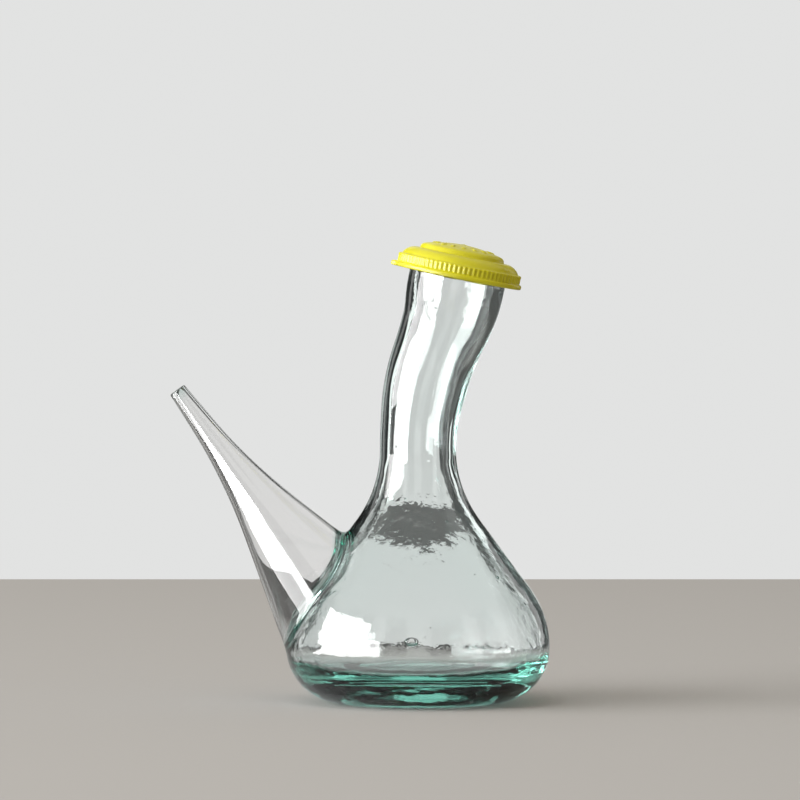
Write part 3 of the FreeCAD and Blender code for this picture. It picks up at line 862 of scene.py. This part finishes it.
def yellow_plastic():
    """Satin yellow polyethylene with slight colour drift, moulding grain and scuffs."""
    material, node, link = new_material("yellow_plastic")
    place = node("ShaderNodeTexCoord")
    shader = node("ShaderNodeBsdfPrincipled")
    drift = node("ShaderNodeTexNoise")
    drift.inputs["Scale"].default_value = 90
    drift.inputs["Detail"].default_value = 3
    link(place.outputs["Object"], drift.inputs["Vector"])
    colours = node("ShaderNodeValToRGB")
    colours.color_ramp.elements[0].color = (0.60, 0.55, 0.004, 1)
    colours.color_ramp.elements[0].position = 0.3
    colours.color_ramp.elements[1].color = (0.705, 0.66, 0.013, 1)
    colours.color_ramp.elements[1].position = 0.7
    link(drift.outputs["Fac"], colours.inputs["Fac"])
    link(colours.outputs["Color"], shader.inputs["Base Color"])
    shader.inputs["Subsurface Weight"].default_value = 0.12
    shader.inputs["Subsurface Radius"].default_value = (0.9, 0.8, 0.1)
    shader.inputs["Subsurface Scale"].default_value = 0.0008
    shader.inputs["IOR"].default_value = 1.5
    scuff = node("ShaderNodeTexNoise")
    scuff.inputs["Scale"].default_value = 700
    scuff.inputs["Detail"].default_value = 4
    link(place.outputs["Object"], scuff.inputs["Vector"])
    gloss = node("ShaderNodeMapRange")
    gloss.inputs["From Min"].default_value = 0.3
    gloss.inputs["From Max"].default_value = 0.7
    gloss.inputs["To Min"].default_value = 0.28
    gloss.inputs["To Max"].default_value = 0.46
    link(scuff.outputs["Fac"], gloss.inputs["Value"])
    link(gloss.outputs["Result"], shader.inputs["Roughness"])
    grain = node("ShaderNodeBump")
    grain.inputs["Strength"].default_value = 0.5
    grain.inputs["Distance"].default_value = 0.00006
    link(scuff.outputs["Fac"], grain.inputs["Height"])
    link(grain.outputs["Normal"], shader.inputs["Normal"])
    output = node("ShaderNodeOutputMaterial")
    link(shader.outputs["BSDF"], output.inputs["Surface"])
    return material


def matte_table():
    """Plain pale table top, which glass shows as a painted reflection: lifted to light grey right round
    the bottle as painted light against its shadow, grey further off, and dark beyond 40 cm.
    """
    material, node, link = new_material("matte_table")
    shader = node("ShaderNodeBsdfPrincipled")
    # the camera and matte surfaces see the plain pale table; the glass's reflections and refractions see
    # only the painted grey below
    seen = node("ShaderNodeLightPath")
    plain = node("ShaderNodeMath")
    plain.operation = "MAXIMUM"
    link(seen.outputs["Is Camera Ray"], plain.inputs[0])
    link(seen.outputs["Is Diffuse Ray"], plain.inputs[1])
    place = node("ShaderNodeTexCoord")
    reach = node("ShaderNodeVectorMath")
    reach.operation = "LENGTH"
    link(place.outputs["Object"], reach.inputs[0])
    # painted reflection by distance from the bottle: 0.56 within 5 cm is painted light that lifts the
    # bottle's cast shadow seen through the base, then grey, and dark beyond 40 cm
    dark = node("ShaderNodeValToRGB")
    stops = dark.color_ramp.elements
    for metres, grey in ((0.05, 0.56), (0.14, 0.42), (0.30, 0.36), (0.42, 0.10)):
        stop = stops.new(metres)
        stop.color = (grey, grey, grey, 1)
    stops.remove(stops[0])
    stops.remove(stops[-1])
    link(reach.outputs["Value"], dark.inputs["Fac"])
    colours = node("ShaderNodeMix")
    colours.data_type = "RGBA"
    link(dark.outputs["Color"], colours.inputs["A"])
    colours.inputs["B"].default_value = (0.46, 0.447, 0.43, 1)
    link(plain.outputs["Value"], colours.inputs["Factor"])
    link(colours.outputs["Result"], shader.inputs["Base Color"])
    shader.inputs["Roughness"].default_value = 0.75
    shader.inputs["Specular IOR Level"].default_value = 0.0
    output = node("ShaderNodeOutputMaterial")
    link(shader.outputs["BSDF"], output.inputs["Surface"])
    return material


# ---------------------------------------------------------------- stage, light and camera

WALL_COLOUR = (0.76, 0.765, 0.76, 1)
WALL_LIGHT = 0.76
WALL_TONE, SHADE_TONE = (1.0, 1.0, 0.985, 1), (1.0, 0.72, 0.38, 1)
# what the glass refracts beside the pale wall: (start, end) in degrees to its left, brightness
CARDS = [
    (-44, -33, 1.20),
    (-32, -11, 0.05),
    (11, 45, 0.03),
]


def table():
    """A plain pale table under the bottle, with its far edge behind it."""
    half, thick = 0.69, 0.03
    mesh = bpy.data.meshes.new("table_top")
    work = bmesh.new()
    bmesh.ops.create_cube(work, size=1.0)
    bmesh.ops.scale(work, vec=(2 * half, 2 * half, thick), verts=work.verts)
    bmesh.ops.translate(work, vec=(0, 0, -thick / 2), verts=work.verts)
    bmesh.ops.bevel(work, geom=work.edges[:], offset=0.003, segments=3, affect="EDGES")
    work.to_mesh(mesh)
    work.free()
    mesh.materials.append(matte_table())
    top = bpy.data.objects.new("table_top", mesh)
    bpy.context.scene.collection.objects.link(top)


def studio_world():
    """Even pale wall to the camera; a room with dark and bright cards to the glass."""
    world = bpy.data.worlds.new("studio")
    bpy.context.scene.world = world
    world.use_nodes = True
    tree = world.node_tree
    tree.nodes.clear()
    link = tree.links.new
    place = tree.nodes.new("ShaderNodeTexCoord")
    split = tree.nodes.new("ShaderNodeSeparateXYZ")
    link(place.outputs["Generated"], split.inputs["Vector"])

    def compute(operation, *values):
        made = tree.nodes.new("ShaderNodeMath")
        made.operation = operation
        for socket, amount in zip(made.inputs, values):
            if isinstance(amount, (int, float)):
                socket.default_value = amount
            else:
                link(amount, socket)
        return made.outputs[0]

    def step(value, start, end, low=0.0, high=1.0):
        rise = tree.nodes.new("ShaderNodeMapRange")
        rise.interpolation_type = "SMOOTHSTEP"
        for socket, amount in (("From Min", start), ("From Max", end), ("To Min", low), ("To Max", high)):
            rise.inputs[socket].default_value = amount
        link(value, rise.inputs["Value"])
        return rise.outputs["Result"]

    def background(colour, strength=1.0):
        made = tree.nodes.new("ShaderNodeBackground")
        for socket, light in (("Color", colour), ("Strength", strength)):
            if isinstance(light, (tuple, float)):
                made.inputs[socket].default_value = light
            else:
                link(light, made.inputs[socket])
        return made.outputs["Background"]

    def choose(factor, when_zero, when_one):
        made = tree.nodes.new("ShaderNodeMixShader")
        link(factor, made.inputs["Fac"])
        link(when_zero, made.inputs[1])
        link(when_one, made.inputs[2])
        return made.outputs["Shader"]

    # the same cards stand round each of the four walls: degrees to the left of a wall's middle
    azimuth = compute("DEGREES", compute("ARCTAN2", split.outputs["Y"], split.outputs["X"]))
    wall = compute("SUBTRACT", compute("FLOORED_MODULO", compute("ADD", azimuth, 45.0), 90.0), 45.0)
    height = split.outputs["Z"]
    room = WALL_LIGHT
    for start, end, brightness in CARDS:
        covered = compute("MULTIPLY", step(wall, start - 1, start + 1), step(wall, end - 1, end + 1, 1, 0))
        covered = compute("MULTIPLY", covered, step(height, 0.55, 0.7, 1, 0))
        change = compute("MULTIPLY", covered, brightness - WALL_LIGHT)
        room = compute("ADD", room, change)
    # beyond the table's edge the floor of the room is dark
    under = step(height, -0.115, -0.125)
    room = compute("ADD", compute("MULTIPLY", room, compute("SUBTRACT", 1.0, under)),
                   compute("MULTIPLY", under, 0.14))
    # matte surfaces only see a soft room, darker and warmer on the right, and darker low down
    ambient = compute("MULTIPLY", step(split.outputs["X"], -0.9, 0.9, 0.85, 0.30),
                      step(height, -0.5, 0.5, 0.45, 1))
    shade = tree.nodes.new("ShaderNodeMix")
    shade.data_type = "RGBA"
    shade.inputs["A"].default_value = WALL_TONE
    shade.inputs["B"].default_value = SHADE_TONE
    link(step(split.outputs["X"], -0.2, 0.9), shade.inputs["Factor"])

    seen = tree.nodes.new("ShaderNodeLightPath")
    to_glass = choose(seen.outputs["Is Diffuse Ray"], background(WALL_TONE, room),
                      background(shade.outputs["Result"], ambient))
    shown = choose(seen.outputs["Is Camera Ray"], to_glass, background(WALL_COLOUR))
    output = tree.nodes.new("ShaderNodeOutputWorld")
    link(shown, output.inputs["Surface"])


def soft_light(name, place, aim, width, height, radiance, seen_by):
    """A large soft panel, as bright over its whole face as radiance says, for some kinds of ray."""
    light = bpy.data.lights.new(name, "AREA")
    light.shape = "RECTANGLE"
    light.size = width
    light.size_y = height
    light.energy = radiance * math.pi * width * height
    panel = bpy.data.objects.new(name, light)
    panel.visible_diffuse = "matte" in seen_by
    panel.visible_glossy = "reflection" in seen_by
    panel.visible_transmission = "refraction" in seen_by
    panel.location = place
    panel.rotation_euler = (Vector(aim) - Vector(place)).to_track_quat("-Z", "Y").to_euler()
    bpy.context.scene.collection.objects.link(panel)


def lights():
    """A window, its sill and a low card on the left for the glass, and soft panels for the rest."""
    middle = (0, 0, 0.08)
    glass = ("reflection", "refraction")
    soft_light("window_in_glass", (-1.15, -0.35, 0.42), middle, 1.2, 0.66, 13.0, glass)
    soft_light("sill_in_glass", (-0.78, -0.93, 0.13), middle, 0.28, 0.32, 13.0, glass)
    soft_light("low_card", (-0.405, -0.208, 0.055), (-0.205, -0.09, 1), 0.34, 0.46, 13.0, ("reflection",))
    soft_light("window_on_matte", (-3.57, -1.08, 1.13), middle, 3.9, 2.1, 7.0, ("matte",))
    soft_light("top_fill", (-0.3, -0.5, 1.6), middle, 0.8, 0.8, 2.2, ("matte",))


def camera():
    """A long lens in front of the bottle and slightly above it."""
    eye = Vector((-6.5, -2600.0, 212.0)) * METRES
    aim = Vector((-6.5, 0.0, 109.0)) * METRES
    data = bpy.data.cameras.new("camera")
    data.lens = 325
    data.clip_start = 0.1
    data.clip_end = 50
    made = bpy.data.objects.new("camera", data)
    made.location = eye
    made.rotation_euler = (aim - eye).to_track_quat("-Z", "Y").to_euler()
    bpy.context.scene.collection.objects.link(made)
    bpy.context.scene.camera = made


def settings():
    """Light paths long enough for glass, and colours shown as they are."""
    scene = bpy.context.scene
    scene.cycles.max_bounces = 28
    scene.cycles.transmission_bounces = 28
    scene.cycles.glossy_bounces = 10
    scene.cycles.diffuse_bounces = 4
    scene.cycles.volume_bounces = 0
    scene.view_settings.view_transform = "Standard"


glass = glass_vessel()
glass.data.materials.append(recycled_glass())
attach(glass, "bottle")
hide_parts("bottle_body", "pouring_spout", "spout_seam")
cap_piece().data.materials.append(yellow_plastic())
table()
studio_world()
lights()
camera()
settings()
